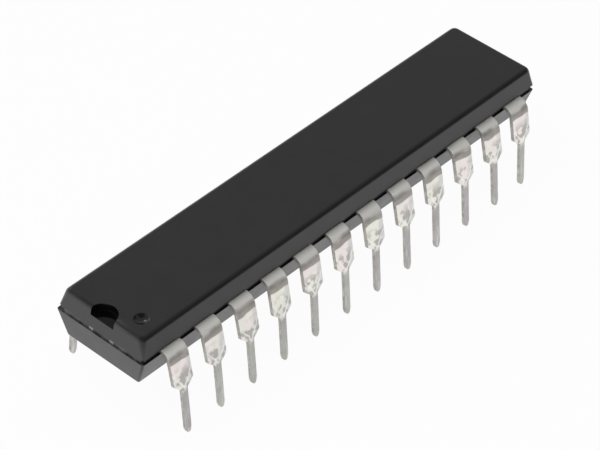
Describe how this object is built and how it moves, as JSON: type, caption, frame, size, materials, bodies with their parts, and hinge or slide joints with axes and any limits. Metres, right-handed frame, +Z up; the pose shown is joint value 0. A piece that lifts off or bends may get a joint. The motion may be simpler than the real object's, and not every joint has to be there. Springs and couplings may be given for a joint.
{
  "type": "dual in-line integrated circuit",
  "caption": "Integrated circuit in a black moulded body with bent tinned leads along both sides, a notch in one end and a corner dimple.",
  "frame": {"origin": "level with the lead tips, midway between the two rows and midway along the body", "axes": "+X along the body, away from the notched end; +Y across the body, away from leads 1 to 12; +Z up, from the lead tips to the body's top face"},
  "size_m": [0.032, 0.009, 0.0068],
  "materials": {
    "moulding_compound": "fine matte moulded epoxy",
    "tinned_lead": "dull tin over punched copper strip",
    "bare_copper": "rolled copper alloy strip",
    "silver_adhesive": "cured silver-filled adhesive",
    "silicon": "polished silicon",
    "gold_wire": "drawn gold"
  },
  "bodies": {
    "root": {"moulded_body": "moulding_compound", "lead_01": "tinned_lead", "lead_02": "tinned_lead", "lead_03": "tinned_lead", "lead_04": "tinned_lead", "lead_05": "tinned_lead", "lead_06": "tinned_lead", "lead_07": "tinned_lead", "lead_08": "tinned_lead", "lead_09": "tinned_lead", "lead_10": "tinned_lead", "lead_11": "tinned_lead", "lead_12": "tinned_lead", "lead_13": "tinned_lead", "lead_14": "tinned_lead", "lead_15": "tinned_lead", "lead_16": "tinned_lead", "lead_17": "tinned_lead", "lead_18": "tinned_lead", "lead_19": "tinned_lead", "lead_20": "tinned_lead", "lead_21": "tinned_lead", "lead_22": "tinned_lead", "lead_23": "tinned_lead", "lead_24": "tinned_lead", "die_paddle": "bare_copper", "die_attach": "silver_adhesive", "silicon_die": "silicon", "bond_wire_01": "gold_wire", "bond_wire_02": "gold_wire", "bond_wire_03": "gold_wire", "bond_wire_04": "gold_wire", "bond_wire_05": "gold_wire", "bond_wire_06": "gold_wire", "bond_wire_07": "gold_wire", "bond_wire_08": "gold_wire", "bond_wire_09": "gold_wire", "bond_wire_10": "gold_wire", "bond_wire_11": "gold_wire", "bond_wire_12": "gold_wire", "bond_wire_13": "gold_wire", "bond_wire_14": "gold_wire", "bond_wire_15": "gold_wire", "bond_wire_16": "gold_wire", "bond_wire_17": "gold_wire", "bond_wire_18": "gold_wire", "bond_wire_19": "gold_wire", "bond_wire_20": "gold_wire", "bond_wire_21": "gold_wire", "bond_wire_22": "gold_wire", "bond_wire_23": "gold_wire", "bond_wire_24": "gold_wire"}
  },
  "joints": []
}
